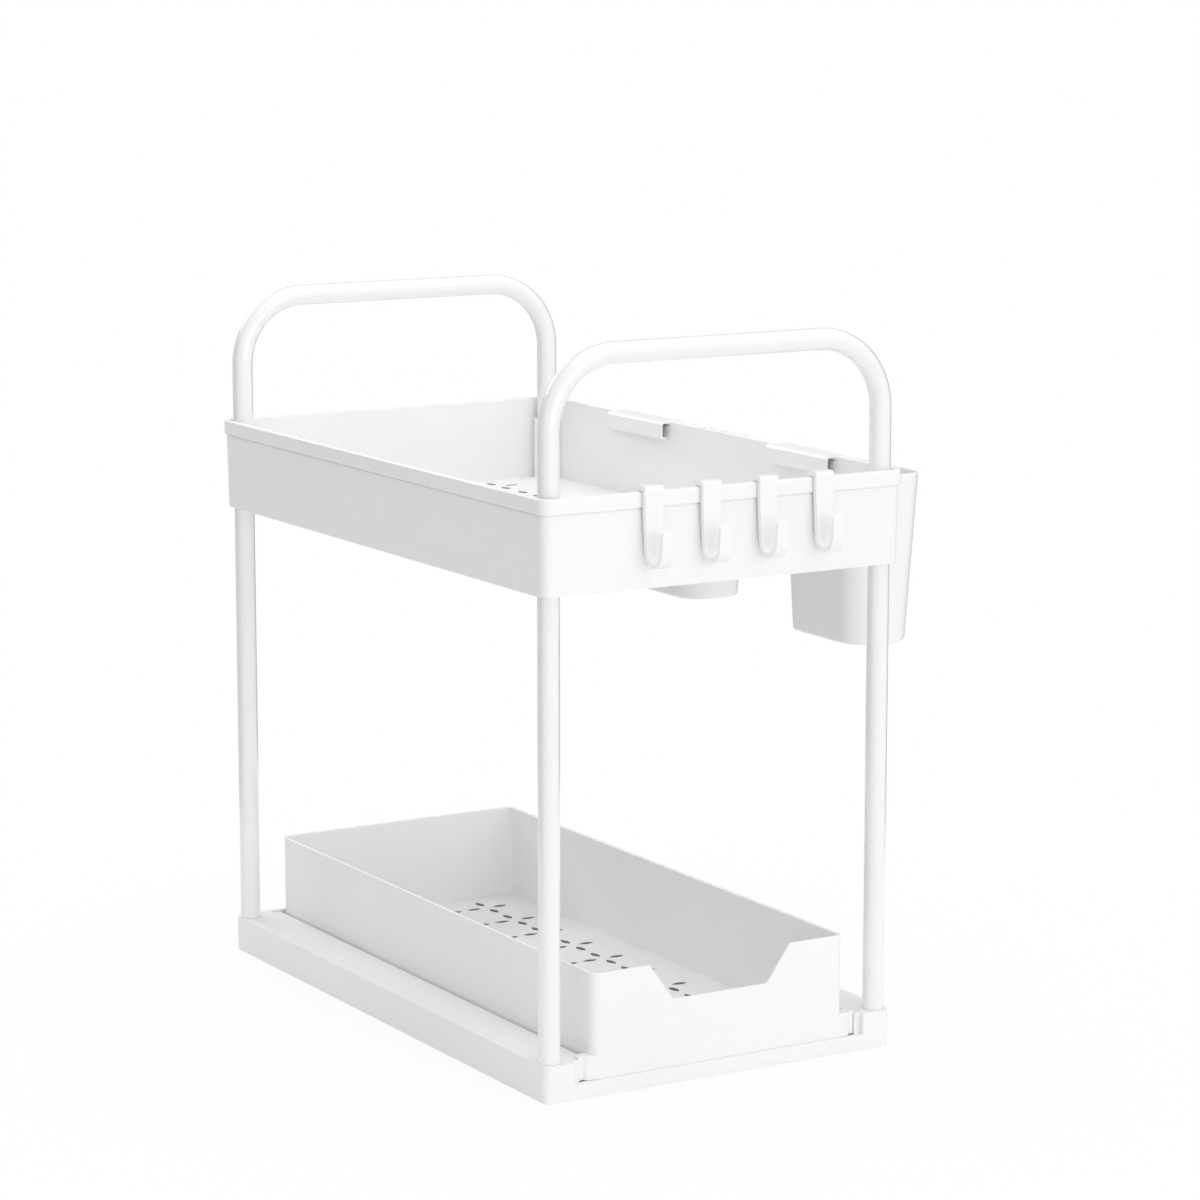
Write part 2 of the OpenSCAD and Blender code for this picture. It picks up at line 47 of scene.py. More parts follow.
X_AXIS, Y_AXIS, Z_AXIS = (1, 0, 0), (0, 1, 0), (0, 0, 1)
SIDES = (-1, 1)

# Points this near are one, a point this near a plane is on it, and an edge this near a height is level with it
WELD, ON_PLANE, LEVEL = 0.001, 0.0001, 0.02
NEAR = 0.01

# Neighbours are flat where they turn by less than this many radians
FLAT = 0.0005

# Sizes that several pieces share
POST_X, POST_Y = 105.8, 182.7
POSTS = [(x, y) for x in (-POST_X, POST_X) for y in (-POST_Y, POST_Y)]
DECK_Z, TRAY_Z, POST_TOP_Z, HANDLE_FOOT_Z, RIM_Z = 21.2, 276.6, 295.35, 297.85, 329.1
RIM_BAND = 8.5
CUP_FRONT_Y, CUP_REAR_Y = -97.6, 79.0


# Shaping tools

def new_parts(parts, known):
    return [part for part in parts if part not in known]


def once_each(parts):
    """The parts without repeats, in the order they come in, so that every run gives the same mesh."""
    return list(dict.fromkeys(parts))


def edges_of(verts):
    return once_each(edge for vert in verts for edge in vert.link_edges)


def faces_of(verts):
    return once_each(face for vert in verts for face in vert.link_faces)


def middle_of(part):
    return sum((vert.co for vert in part.verts), Vector()) / len(part.verts)


def by_place(edges):
    """The edges sorted by place, because an extrusion makes them in another order in each run."""
    return sorted(edges, key=lambda edge: [round(value, 3) for value in middle_of(edge)])


def level_with(part, z):
    return all(abs(vert.co.z - z) < LEVEL for vert in part.verts)


def beyond(part, width, depth, middle_y=0.0):
    """How far the middle of a part lies outside a rectangle; less than zero inside it."""
    place = middle_of(part)
    return max(abs(place.x) - width / 2, abs(place.y - middle_y) - depth / 2)


def rectangle(bm, width, depth, centre):
    """Draws a level rectangle and returns its corners."""
    corners = bmesh.ops.create_grid(bm, x_segments=1, y_segments=1, size=0.5)["verts"]
    bmesh.ops.scale(bm, vec=(width, depth, 1), verts=corners)
    bmesh.ops.translate(bm, vec=centre, verts=corners)
    return corners


def plate(bm, width, depth, radius, z, middle=(0, 0), steps=8):
    """Draws a face with round corners at height z and returns it."""
    known = set(bm.faces)
    corners = rectangle(bm, width, depth, (*middle, z))
    bmesh.ops.bevel(bm, geom=corners, offset=radius, offset_type="OFFSET", segments=steps, profile=0.5,
                    affect="VERTICES", material=-1)
    return next(face for face in bm.faces if face not in known)


def outline(bm, width, depth, radius, z, middle=(0, 0), steps=8):
    """Draws a loop of edges with round corners at height z and returns its edges."""
    face = plate(bm, width, depth, radius, z, middle, steps)
    edges = list(face.edges)
    bmesh.ops.delete(bm, geom=[face], context="FACES_ONLY")
    return edges


def skin(bm, *loops):
    """Joins loops of edges one after the other with faces."""
    for one, following in zip(loops, loops[1:]):
        bmesh.ops.bridge_loops(bm, edges=list(one) + list(following))


def cut(bm, place, normal, faces=None):
    """Cuts the faces, or all of them, along a plane."""
    faces = bm.faces[:] if faces is None else list(faces)
    edges = once_each(edge for face in faces for edge in face.edges)
    verts = once_each(vert for face in faces for vert in face.verts)
    bmesh.ops.bisect_plane(bm, geom=faces + edges + verts, dist=ON_PLANE, plane_co=place, plane_no=normal)


def grow(bm, faces, move, first=False):
    """Extrudes faces by a move and returns the new ones; the first face of a solid stays as its cap."""
    faces = list(faces)
    made = bmesh.ops.extrude_face_region(bm, geom=faces)["geom"]
    if not first:
        bmesh.ops.delete(bm, geom=faces, context="FACES")
    bmesh.ops.translate(bm, vec=move, verts=[part for part in made if isinstance(part, BMVert)])
    return [part for part in made if isinstance(part, BMFace)]


def turn(bm, face, centre, axis, angle, steps):
    """Sweeps the end face round an axis and returns the new end face."""
    made = bmesh.ops.spin(bm, geom=[face], cent=centre, axis=axis, angle=angle, steps=steps,
                          use_merge=False)["geom_last"]
    bmesh.ops.delete(bm, geom=[face], context="FACES_ONLY")
    return next(part for part in made if isinstance(part, BMFace))


def pull(bm, edges, move):
    """Extrudes edges by a move and returns the new edges."""
    made = bmesh.ops.extrude_edge_only(bm, edges=list(edges))["geom"]
    bmesh.ops.translate(bm, vec=move, verts=[part for part in made if isinstance(part, BMVert)])
    ends = {part for part in made if isinstance(part, BMVert)}
    return [part for part in made if isinstance(part, BMEdge) and ends.issuperset(part.verts)]


def block(bm, low, high):
    """Adds a closed bar between two corners and returns its faces."""
    known = set(bm.faces)
    verts = bmesh.ops.create_cube(bm, size=1)["verts"]
    bmesh.ops.scale(bm, vec=[b - a for a, b in zip(low, high)], verts=verts)
    bmesh.ops.translate(bm, vec=[(a + b) / 2 for a, b in zip(low, high)], verts=verts)
    return new_parts(bm.faces, known)


def draw_to(bm, vert, place):
    """Draws a straight edge from a vertex to a place and returns its end."""
    following = bmesh.ops.extrude_vert_indiv(bm, verts=[vert])["verts"][0]
    following.co = place
    return following


def draw_round(bm, vert, centre, angle, steps=8):
    """Draws an arc from a vertex round an upright axis and returns its end."""
    made = bmesh.ops.spin(bm, geom=[vert], cent=centre, axis=Z_AXIS, angle=math.radians(angle), steps=steps,
                          use_merge=False)["geom_last"]
    return next(part for part in made if isinstance(part, BMVert))


def lathe(bm, profile, centre, steps=48):
    """Turns a profile of radius and height, which starts and ends on the axis, into a closed solid."""
    known = set(bm.verts)
    point = bmesh.ops.create_vert(bm, co=(profile[0][0], 0, profile[0][1]))["vert"][0]
    for radius, height in profile[1:]:
        point = draw_to(bm, point, (radius, 0, height))
    chain = new_parts(bm.verts, known)
    bmesh.ops.spin(bm, geom=chain + edges_of(chain), cent=(0, 0, 0), axis=Z_AXIS, angle=math.tau, steps=steps,
                   use_merge=True)
    bmesh.ops.remove_doubles(bm, verts=new_parts(bm.verts, known), dist=WELD)
    turned = new_parts(bm.verts, known)
    bmesh.ops.translate(bm, vec=(centre[0], centre[1], 0), verts=turned)
    return turned


def keep_within(verts, reach_x, reach_y):
    """Flattens a turned form where it runs into the walls."""
    for vert in verts:
        vert.co.x = max(-reach_x, min(reach_x, vert.co.x))
        vert.co.y = max(-reach_y, min(reach_y, vert.co.y))


def flatten(bm):
    """Joins the flat neighbours that the cuts left, and takes out the points left on straight edges."""
    flat = [edge for edge in bm.edges if edge.is_manifold and abs(edge.calc_face_angle(0)) < FLAT]
    bmesh.ops.dissolve_edges(bm, edges=by_place(flat), use_verts=True)


def soften(bm, size, pick, steps=3, sharper_than=40):
    """Rounds the edges that pick chooses, and marks them for the worn polish and for a lighter colour that is
    partly a painted highlight.
    """
    mark = bm.faces.layers.float.get("softened") or bm.faces.layers.float.new("softened")
    edges = [edge for edge in bm.edges if edge.is_manifold
             and abs(edge.calc_face_angle(0)) > math.radians(sharper_than) and pick(edge)]
    made = bmesh.ops.bevel(bm, geom=edges, offset=size, offset_type="OFFSET", segments=steps, profile=0.5,
                           affect="EDGES", clamp_overlap=True, material=-1)
    for face in made["faces"]:
        face[mark] = 1.0


def fill_level(bm, z):
    """Fills the open loops at one height with a flat floor round its holes."""
    edges = [edge for edge in bm.edges if len(edge.link_faces) < 2 and level_with(edge, z)]
    bmesh.ops.triangle_fill(bm, edges=by_place(edges), use_beauty=True, use_dissolve=False)


def spread(count, pitch, shift=0.0):
    """Places in a row, evenly round the middle."""
    return [(i - (count - 1) / 2) * pitch + shift for i in range(count)]


def finish_piece(bm, name, body, slot, paint, smooth_to=30):
    """Turns the shaped solid into a piece of the model that stands for its node."""
    bmesh.ops.remove_doubles(bm, verts=bm.verts, dist=WELD / 2)
    bmesh.ops.dissolve_degenerate(bm, dist=WELD / 5, edges=bm.edges)
    bmesh.ops.recalc_face_normals(bm, faces=bm.faces)
    for face in bm.faces:
        face.smooth = True
    for edge in bm.edges:
        edge.smooth = edge.is_manifold and abs(edge.calc_face_angle(0)) < math.radians(smooth_to)
    bmesh.ops.scale(bm, vec=(MM, MM, MM), verts=bm.verts)
    mesh = bpy.data.meshes.new(name + "_shape")
    bm.to_mesh(mesh)
    bm.free()
    mesh.materials.append(paint)
    piece = bpy.data.objects.new(name + "_moulded" if slot == "plastic" else name + "_made", mesh)
    bpy.context.scene.collection.objects.link(piece)
    even = piece.modifiers.new("even_shading", "WEIGHTED_NORMAL")
    even.keep_sharp = True
    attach(piece, body)
    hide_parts(name)
    return piece


# Drain pattern: flowers of four leaf-shaped holes

LEAF_LENGTH, LEAF_WIDTH, LEAF_RING = 10.5, 4.4, 9.3
HOLE_EDGE, HOLE_EDGE_DEPTH = 0.1, 0.2


def leaf_loop(bm, grown, z):
    """Draws one leaf at the ring's right side, from an arc that is mirrored."""
    length, width = LEAF_LENGTH + 2 * grown, LEAF_WIDTH + 2 * grown
    reach = (length ** 2 + width ** 2) / (4 * width)
    known_verts, known_edges = set(bm.verts), set(bm.edges)
    tip = bmesh.ops.create_vert(bm, co=(LEAF_RING - length / 2, 0, z))["vert"]
    bmesh.ops.spin(bm, geom=tip, cent=(LEAF_RING, width / 2 - reach, z), axis=Z_AXIS,
                   angle=-2 * math.asin(length / 2 / reach), steps=5, use_merge=False)
    half = new_parts(bm.verts, known_verts) + new_parts(bm.edges, known_edges)
    bmesh.ops.mirror(bm, geom=half, matrix=Matrix.Identity(4), merge_dist=WELD, axis="Y")
    return new_parts(bm.edges, known_edges)


def linked_parts(verts):
    return verts + edges_of(verts) + faces_of(verts)


def drain_holes(bm, top, bottom, columns, rows):
    """Adds the walls of all the leaf holes between a floor's two sides, and marks them for painted shade: a
    darker colour that stands in for the shade inside the holes.
    """
    known = set(bm.verts)
    mark = bm.faces.layers.float.get("painted_hole_shade") or bm.faces.layers.float.new("painted_hole_shade")
    skin(bm, leaf_loop(bm, HOLE_EDGE, top), leaf_loop(bm, 0, top - HOLE_EDGE_DEPTH), leaf_loop(bm, 0, bottom))
    leaf = new_parts(bm.verts, known)
    # Painted shade: the hole walls are marked in full and the chamfers in part, so that the finish darkens
    # their colour where the holes are in shade
    for face in faces_of(leaf):
        on_wall = middle_of(face).z < top - 0.75 * HOLE_EDGE_DEPTH
        face[mark] = 1.0 if on_wall else 0.3
    bmesh.ops.spin(bm, geom=linked_parts(leaf), cent=(0, 0, 0), axis=Z_AXIS, angle=math.radians(270), steps=3,
                   use_duplicate=True, use_merge=False)
    flower = new_parts(bm.verts, known)
    parts = linked_parts(flower)
    for x in columns:
        for y in rows:
            copy = bmesh.ops.duplicate(bm, geom=parts)["geom"]
            bmesh.ops.translate(bm, vec=(x, y, 0), verts=[part for part in copy if isinstance(part, BMVert)])
    bmesh.ops.delete(bm, geom=flower, context="VERTS")


# Base

def base_tray(paint):
    """The base: two decks beside the drawer's channel, hollow below, with ribs, bosses and spigots."""
    bm = bmesh.new()
    width, depth, corner = 225, 381, 5
    slot_top, sill, floor, foot = 19, 9.15, 6.9, 0.6
    channel_x, slot_x, opening_x = 90, 92, 94
    front_y, rear_y, slot_deep = -187.5, 188.1, 0.7
    plate(bm, width, depth, corner, DECK_Z)
    for x in (-opening_x, -channel_x, channel_x, opening_x):
        cut(bm, (x, 0, 0), X_AXIS)
    for y in (front_y, rear_y):
        cut(bm, (0, y, 0), Y_AXIS)
    opening = [face for face in bm.faces if abs(middle_of(face).x) < opening_x and middle_of(face).y < front_y]
    channel = [face for face in bm.faces
               if abs(middle_of(face).x) < channel_x and front_y < middle_of(face).y < rear_y]
    lowered = grow(bm, opening + channel, (0, 0, sill - DECK_Z))
    on_front = [face for face in bm.faces if middle_of(face).y < 0.05 - depth / 2]
    bmesh.ops.delete(bm, geom=on_front, context="FACES")
    grow(bm, [face for face in lowered if face.is_valid and middle_of(face).y > front_y], (0, 0, floor - sill))

    # The skirt comes down in two levels, past the sill
    deck_rim = [edge for edge in bm.edges if edge.is_boundary and level_with(edge, DECK_Z)]
    pull(bm, deck_rim, (0, 0, sill - DECK_Z))
    bmesh.ops.remove_doubles(bm, verts=bm.verts, dist=WELD)
    pull(bm, [edge for edge in bm.edges if edge.is_boundary], (0, 0, foot - sill))

    # The shallow slots beside the channel's ends
    def channel_end(low_x, low_z, high_z):
        def is_on_it(face):
            place = middle_of(face)
            return (abs(place.y - front_y) < NEAR and low_x < abs(place.x) < opening_x
                    and low_z < place.z < high_z)
        return [face for face in bm.faces if is_on_it(face)]

    for side in SIDES:
        cut(bm, (side * slot_x, 0, 0), X_AXIS, channel_end(channel_x, sill, DECK_Z))
    cut(bm, (0, 0, slot_top), Z_AXIS, channel_end(slot_x, sill, DECK_Z))
    for side in SIDES:
        slot_face = [face for face in channel_end(slot_x, sill, slot_top) if middle_of(face).x * side > 0]
        grow(bm, slot_face, (0, slot_deep, 0))

    # The hollow below rises in steps: under the channel, under the slots and under the decks
    hollow_width, hollow_depth, hollow_corner, hollow_y = 220.2, 373.9, 3.8, 1.15
    channel_step, slot_step, deck_step = 4.1, 4.2, 10.1
    known = set(bm.faces)
    plate(bm, hollow_width, hollow_depth, hollow_corner, foot, (0, hollow_y))
    for x in (-opening_x, -slot_x, slot_x, opening_x):
        cut(bm, (x, 0, 0), X_AXIS, new_parts(bm.faces, known))
    raised = grow(bm, new_parts(bm.faces, known), (0, 0, channel_step))
    raised = grow(bm, [face for face in raised if abs(middle_of(face).x) > slot_x], (0, 0, slot_step))
    grow(bm, raised, (0, 0, deck_step))
    bmesh.ops.remove_doubles(bm, verts=bm.verts, dist=WELD)
    fill_level(bm, foot)
    bmesh.ops.recalc_face_normals(bm, faces=bm.faces)
    flatten(bm)

    def outside(edge):
        low = min(vert.co.z for vert in edge.verts)
        high = max(vert.co.z for vert in edge.verts)
        at_slot = abs(high - slot_top) < NEAR or abs(low - slot_top) < NEAR
        on_skirt = level_with(edge, foot) and beyond(edge, width, depth) > -1.6
        return edge.is_convex and (low > sill - 0.1 and not at_slot or on_skirt)

    soften(bm, 0.7, outside)

    # Bearers that carry the drawer, and shelves beside it that steer it; both start inside the floor
    bearer_x, bearer_half, bearer_front_y = 49, 2, -187.3
    shelf_x, shelf_half, shelf_front_y, shelf_top = 86.6, 3.7, -179.3, 20.3
    root_z, bars_rear_y = 6.6, 187.9
    for side in SIDES:
        bars = block(bm, (side * bearer_x - bearer_half, bearer_front_y, root_z),
                     (side * bearer_x + bearer_half, bars_rear_y, sill))
        bars += block(bm, (side * shelf_x - shelf_half, shelf_front_y, root_z),
                      (side * shelf_x + shelf_half, bars_rear_y, shelf_top))
        own = {edge for face in bars for edge in face.edges}
        soften(bm, 0.4, lambda edge: edge in own and middle_of(edge).z > root_z + 0.1)

    # Ribs under the channel, long ones under the bearers
    rib_half, rib_reach = 0.8, 111.3
    for y in spread(7, depth / 8):
        block(bm, (-rib_reach, y - rib_half, 1.6), (rib_reach, y + rib_half, 5.8))
    for side in SIDES:
        block(bm, (side * bearer_x - rib_half, -188.9, 1.7), (side * bearer_x + rib_half, 189.1, 5.7))

    # Bosses with a seat for the foot pads, and the spigots that the posts stand on
    boss = [(0, 2), (5.65, 2), (5.65, 0.7), (7.5, 0.7), (7.5, 20.1), (0, 20.1)]
    spigot = [(0, 20.1), (4.85, 20.1), (4.85, 33.7), (4.1, 35.2), (0, 35.2)]
    for post_place in POSTS:
        keep_within(lathe(bm, boss, post_place), rib_reach, 189.3)
        lathe(bm, spigot, post_place)
    return finish_piece(bm, "base_tray", "frame", "plastic", paint)


# Drawer

def drawer(paint):
    """The drawer: a thin box with a finger cut-out, two ears and its drain pattern."""
    bm = bmesh.new()
    width, depth, corner, wall, middle = 163.4, 375.5, 5.5, 2, (0, -0.75)
    low, top, floor = 9.2, 68.2, 11.4
    inner = width - 2 * wall, depth - 2 * wall, corner - wall
    skin(bm, outline(bm, width, depth, corner, low, middle), outline(bm, width, depth, corner, top, middle),
         outline(bm, *inner, top, middle), outline(bm, *inner, floor, middle))

    # The finger cut-out: the wall between four cuts, its inner part set lower
    cut_top_x, cut_low_x, cut_depth, front_wall_y = 45.7, 30.5, 21, -186
    for x in (-cut_top_x, -cut_low_x, cut_low_x, cut_top_x):
        cut(bm, (x, 0, 0), X_AXIS, [face for face in bm.faces if middle_of(face).y < front_wall_y])
    for vert in bm.verts:
        if vert.co.y < front_wall_y and abs(vert.co.x) < cut_low_x + 0.5 and vert.co.z > top - 1:
            vert.co.z -= cut_depth
    bmesh.ops.recalc_face_normals(bm, faces=bm.faces)

    def across_wall(edge):
        ends, place = edge.verts[0].co - edge.verts[1].co, middle_of(edge)
        return (abs(ends.y) > wall - 0.1 and abs(ends.x) < NEAR and abs(place.x) < cut_top_x + 0.3
                and place.z > 40)

    soften(bm, 1.2, across_wall, steps=4, sharper_than=20)
    soften(bm, 0.85, lambda edge: edge.is_convex and middle_of(edge).z > top - cut_depth - 1.2, steps=4)
    drain_holes(bm, floor, low, columns=spread(4, 32.3), rows=spread(10, 35.6))
    fill_level(bm, floor)
    fill_level(bm, low)
    bmesh.ops.recalc_face_normals(bm, faces=bm.faces)

    def along_side(edge, z, within):
        return level_with(edge, z) and beyond(edge, width, depth, middle[1]) > -within

    soften(bm, 0.3, lambda edge: along_side(edge, low, 1.7), steps=3)
    soften(bm, 1.8, lambda edge: along_side(edge, floor, 3.2), steps=4)

    # The ears close the channel beside the front; they start inside the wall. Each corner of an ear may
    # have an arc after it, with a centre and an angle
    start, ear_low, ear_rise = (76.2, -188.5), low + 0.05, 13.35
    ear_corners = (((82.6, -188.5), (82.6, -183), 52), ((89.75, -186.39), None, 0),
                   ((89.75, -180.5), None, 0), ((80.7, -180.5), None, 0),
                   ((80.7, -183), (76.2, -183), -90), (start, None, 0))
    for side in SIDES:
        known = set(bm.verts)
        point = bmesh.ops.create_vert(bm, co=(side * start[0], start[1], ear_low))["vert"][0]
        for (x, y), centre, angle in ear_corners:
            point = draw_to(bm, point, (side * x, y, ear_low))
            if centre:
                point = draw_round(bm, point, (side * centre[0], centre[1], ear_low), side * angle)
        bmesh.ops.remove_doubles(bm, verts=new_parts(bm.verts, known), dist=WELD)
        face = bmesh.ops.contextual_create(bm, geom=edges_of(new_parts(bm.verts, known)))["faces"][0]
        grow(bm, [face], (0, 0, ear_rise), first=True)
        bmesh.ops.recalc_face_normals(bm, faces=faces_of(new_parts(bm.verts, known)))

        def on_ear(edge):
            return known.isdisjoint(edge.verts) and abs(middle_of(edge).x) > width / 2

        soften(bm, 0.5, on_ear, steps=3)
    return finish_piece(bm, "drawer", "drawer_body", "plastic", paint)


# Upper tray

def upper_tray(paint):
    """The tray: drafted walls with a rim band, two notches, corner sockets and its drain pattern."""
    bm = bmesh.new()
    floor, band, notch = TRAY_Z + 2.4, RIM_Z - RIM_BAND, RIM_Z - 2.9
    groove, width, depth = band - 0.8, 227.4, 383.8
    levels = ((width, depth, 5.9, TRAY_Z), (228.7, 385.1, 5.9, groove),
              (227.8, 384.2, 5.5, groove + 0.1), (227.8, 384.2, 5.5, band),
              (231.2, 387.6, 7, band), (231.2, 387.6, 7, RIM_Z),
              (224.6, 381, 3.7, RIM_Z), (223.1, 379.5, 3.7, floor))
    skin(bm, *[outline(bm, *level) for level in levels])

    # Notches for the cups' hangers, in the right wall
    right_wall_x, notch_half = 100, 32.2
    for hanger_y in (CUP_REAR_Y, CUP_FRONT_Y):
        def in_notch(part):
            place = middle_of(part)
            return place.x > right_wall_x and abs(place.y - hanger_y) < notch_half + NEAR

        for y in (hanger_y - notch_half, hanger_y + notch_half):
            cut(bm, (0, y, 0), Y_AXIS, [face for face in bm.faces if middle_of(face).x > right_wall_x])
        cut(bm, (0, 0, notch), Z_AXIS, [face for face in bm.faces if in_notch(face)])
        taken = [face for face in bm.faces if in_notch(face) and middle_of(face).z > notch]
        bmesh.ops.delete(bm, geom=taken, context="FACES")
        lip = [edge for edge in bm.edges
               if edge.is_boundary and in_notch(edge) and middle_of(edge).z > notch - NEAR
               and abs(edge.verts[0].co.x - edge.verts[1].co.x) < 0.5]
        bmesh.ops.bridge_loops(bm, edges=lip)
    bmesh.ops.recalc_face_normals(bm, faces=bm.faces)
    flatten(bm)
    soften(bm, 0.7, lambda edge: edge.is_convex and middle_of(edge).z > band - 0.1)

    # Bores below, for the posts, and the floor with its holes
    bore_radius = 6.15
    for x, y in POSTS:
        bore = open_ring(bm, (x, y, TRAY_Z), bore_radius)
        bmesh.ops.contextual_create(bm, geom=pull(bm, bore, (0, 0, POST_TOP_Z - TRAY_Z)))
    drain_holes(bm, floor, TRAY_Z, columns=spread(4, 40), rows=spread(9, 39.4, 6.1))
    fill_level(bm, floor)
    fill_level(bm, TRAY_Z)
    bmesh.ops.recalc_face_normals(bm, faces=bm.faces)

    def round_foot(edge):
        return (level_with(edge, TRAY_Z) or level_with(edge, floor)) and beyond(edge, width, depth) > -3.4

    soften(bm, 0.9, round_foot, steps=3)

    # The corner sockets stand on the floor and run into the walls
    socket_radius, socket_low, socket_top = 8.05, 277.8, 316.6
    socket = [(0, HANDLE_FOOT_Z), (bore_radius, HANDLE_FOOT_Z), (bore_radius, 316.3), (6.24, 316.5),
              (6.45, socket_top), (7.6, socket_top), (7.9, 316.45), (socket_radius, 316.1),
              (socket_radius, socket_low), (0, socket_low)]
    for post_place in POSTS:
        keep_within(lathe(bm, socket, post_place), 112.6, 190.8)
    return finish_piece(bm, "upper_tray", "frame", "plastic", paint)


# Tube: posts and handles

TUBE_RADIUS, TUBE_WALL, BEND_RADIUS, HANDLE_TOP_Z = 6.0, 1.0, 40, 402.8


def open_ring(bm, place, radius=TUBE_RADIUS, steps=48):
    verts = bmesh.ops.create_circle(bm, cap_ends=False, segments=steps, radius=radius)["verts"]
    bmesh.ops.translate(bm, vec=place, verts=verts)
    return edges_of(verts)


def wall_up(bm):
    """Gives the outer skin of a tube its wall, inwards."""
    bmesh.ops.remove_doubles(bm, verts=bm.verts, dist=WELD)
    bmesh.ops.recalc_face_normals(bm, faces=bm.faces)
    bmesh.ops.solidify(bm, geom=bm.faces[:], thickness=TUBE_WALL)
    soften(bm, TUBE_WALL / 4, lambda edge: True, steps=2)


def post(name, x, y, paint):
    bm = bmesh.new()
    pull(bm, open_ring(bm, (x * POST_X, y * POST_Y, DECK_Z)), (0, 0, POST_TOP_Z - DECK_Z))
    wall_up(bm)
    return finish_piece(bm, name, "frame", "tube", paint)


def handle(name, y, paint):
    """A handle, bent from one length of tube."""
    bm = bmesh.new()
    bend_z, reach = HANDLE_TOP_Z - BEND_RADIUS, POST_X - BEND_RADIUS
    rise = bend_z - HANDLE_FOOT_Z
    end = pull(bm, open_ring(bm, (-POST_X, y * POST_Y, HANDLE_FOOT_Z)), (0, 0, rise))
    for x, go in ((-reach, (2 * reach, 0, 0)), (reach, (0, 0, -rise))):
        made = bmesh.ops.spin(bm, geom=end, cent=(x, y * POST_Y, bend_z), axis=Y_AXIS, angle=math.pi / 2,
                              steps=20, use_merge=False)["geom_last"]
        end = pull(bm, [part for part in made if isinstance(part, BMEdge)], go)
    wall_up(bm)
    return finish_piece(bm, name, "frame", "tube", paint)


# Hooks

def hook(name, x, paint):
    """A rim hook: a leg inside the tray, a plate over the rim and a tapering strap with an upturned tip."""
    bm = bmesh.new()
    under, over = RIM_Z + 0.3, RIM_Z + 3.3
    leg_low, leg_y, leg_thick, plate_y = 319.1, -189.1, 2.2, -192.7
    strap_y, strap_thick, bend_y = -194.4, 3, -202.6
    bend_z, lowest, shoulder, tip = 297.0, 288.8, RIM_Z - RIM_BAND, 309.8
    strap_wide, bend_wide, tip_wide, corner = 11.6, 8.4, 6.2, 2.9
    rectangle(bm, strap_wide, leg_thick, (0, leg_y, leg_low))
    leg = grow(bm, bm.faces[:], (0, 0, under - leg_low), first=True)
    grow(bm, leg, (0, 0, over - under))
    side = min((face for face in bm.faces if middle_of(face).z > under), key=lambda face: middle_of(face).y)
    plate_end = grow(bm, [side], (0, strap_y - (leg_y - leg_thick / 2), 0))
    grow(bm, plate_end, (0, -strap_thick, 0))
    below = min((face for face in bm.faces if middle_of(face).y < strap_y), key=lambda face: middle_of(face).z)
    strap = grow(bm, [below], (0, 0, shoulder - under))
    for step in range(3):
        strap = grow(bm, strap, (0, 0, (bend_z - shoulder) / 3))
    end = turn(bm, strap[0], (0, bend_y, bend_z), X_AXIS, -math.pi, 14)
    if min(vert.co.z for vert in bm.verts) > lowest + 0.5:
        raise ValueError("the hook bends the wrong way")
    end = grow(bm, [end], (0, 0, (tip - bend_z) / 2))
    grow(bm, end, (0, 0, (tip - bend_z) / 2))
    bmesh.ops.recalc_face_normals(bm, faces=bm.faces)

    # The strap narrows from its shoulder to the bend, and the tip narrows on
    for vert in bm.verts:
        if vert.co.z < shoulder and vert.co.y < -191:
            if vert.co.y > bend_y:
                share = (vert.co.z - lowest) / (shoulder - lowest)
                wide = bend_wide + share * (strap_wide - bend_wide)
            else:
                share = min(1, (vert.co.z - lowest) / (tip - 3.1 - lowest))
                wide = bend_wide + share * (tip_wide - bend_wide)
            vert.co.x *= wide / strap_wide

    def over_the_rim(edge):
        place = middle_of(edge)
        return abs(place.x) < NEAR and level_with(edge, over) and abs(place.y - plate_y) > 4.5

    def tip_corners(edge):
        ends = edge.verts[0].co - edge.verts[1].co
        return level_with(edge, tip) and abs(ends.y) > 2.5 and abs(ends.x) < NEAR

    soften(bm, corner, over_the_rim, steps=8)
    soften(bm, corner, tip_corners, steps=8)
    flatten(bm)
    soften(bm, 0.45, lambda edge: True, steps=3, sharper_than=50)
    bmesh.ops.translate(bm, vec=(x, 0, 0), verts=bm.verts)
    return finish_piece(bm, name, name + "_body", "plastic", paint)


# Cups

